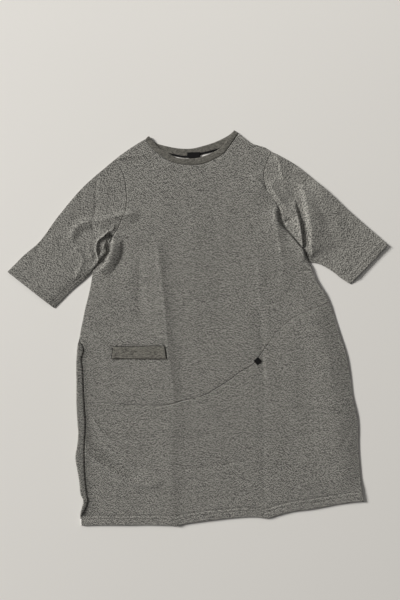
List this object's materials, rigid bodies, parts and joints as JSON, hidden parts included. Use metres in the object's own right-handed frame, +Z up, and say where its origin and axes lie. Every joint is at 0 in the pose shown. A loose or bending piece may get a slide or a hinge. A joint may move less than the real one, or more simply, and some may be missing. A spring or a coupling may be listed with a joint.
{
  "type": "sweatshirt dress",
  "caption": "Knee-length sweatshirt dress with elbow sleeves, round ribbed neck, welt pocket and curved front seam, laid flat.",
  "frame": {"origin": "bottom centre of the bounding box, on the surface that the dress lies on", "axes": "+Z up from the surface, +Y from the hem to the neck, -X towards the wearer's right sleeve"},
  "size_m": [0.9476, 0.9857, 0.0129],
  "materials": {
    "cloth": "brushed-back sweatshirt knit, melange of light and dark grey yarn, matt",
    "rib": "doubled rib knit, slightly darker and browner grey, matt",
    "trim": "black woven tape, matt, left bare"
  },
  "bodies": {
    "root": {"front_upper": "cloth", "front_lower": "cloth", "back": "cloth", "sleeve_right": "cloth", "sleeve_left": "cloth", "neckband": "rib", "pocket_welt": "rib", "seam_label": "trim", "neck_tape": "trim", "neck_label": "trim"}
  },
  "joints": []
}
